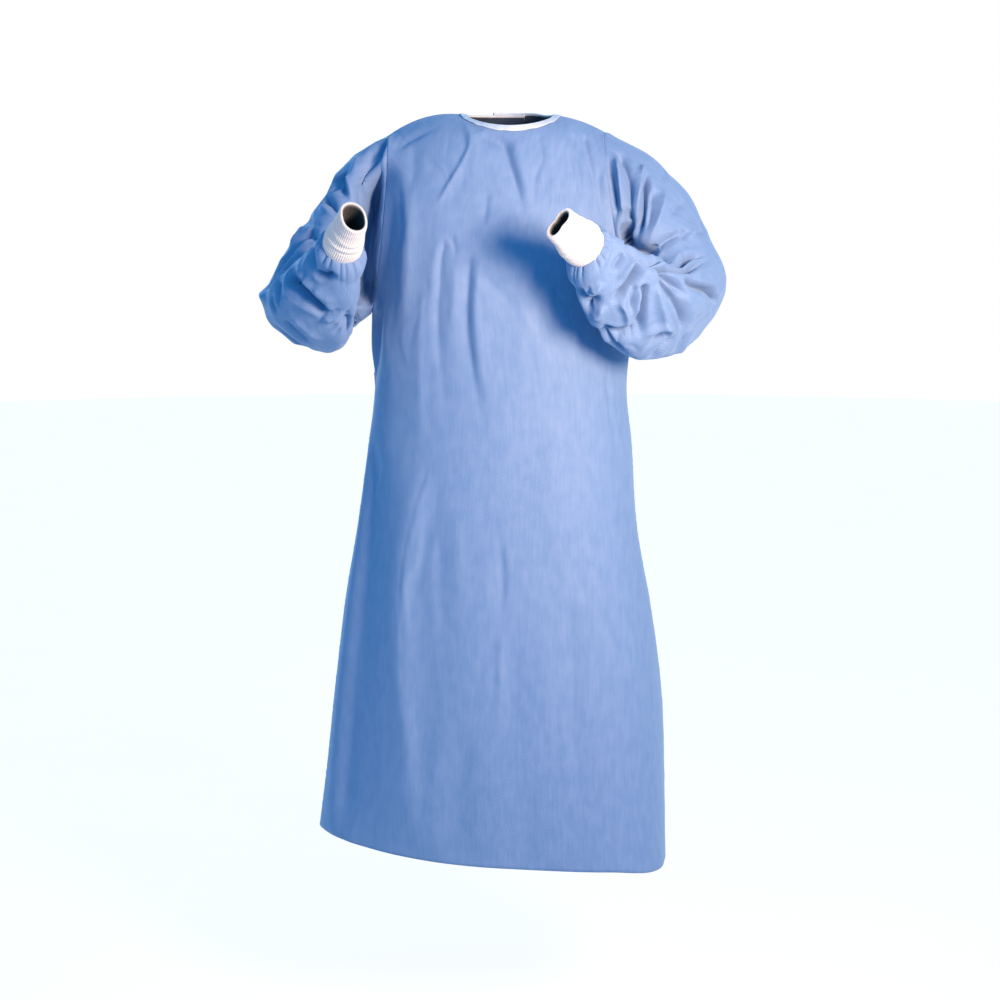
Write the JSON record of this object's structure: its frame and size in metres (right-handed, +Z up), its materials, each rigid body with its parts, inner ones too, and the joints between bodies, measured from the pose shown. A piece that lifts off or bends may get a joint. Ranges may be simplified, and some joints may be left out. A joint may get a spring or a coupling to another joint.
{
  "type": "surgical gown",
  "caption": "Blue disposable surgical gown in its worn shape, hollow, with bent sleeves, white knitted cuffs, a bound round neck and an overlapped, tied back.",
  "frame": {"origin": "centre of the neck opening, level with the two points where the shoulder seams meet the neck", "axes": "+Z up, -Y towards the front of the gown, +X towards the wearer's left"},
  "size_m": [0.7302, 0.5246, 1.1847],
  "materials": {
    "nonwoven": "thin matt nonwoven cloth with a fine bonded texture",
    "knit": "white ribbed knit",
    "tape": "white folded binding tape"
  },
  "bodies": {
    "root": {"front_panel": "nonwoven", "back_left_panel": "nonwoven", "back_right_panel": "nonwoven", "sleeve_left": "nonwoven", "sleeve_right": "nonwoven", "cuff_left": "knit", "cuff_right": "knit", "neck_tape": "tape", "waist_tie_left": "nonwoven", "waist_tie_right": "nonwoven", "waist_tail_left": "nonwoven", "waist_tail_right": "nonwoven", "waist_knot": "nonwoven"}
  },
  "joints": []
}
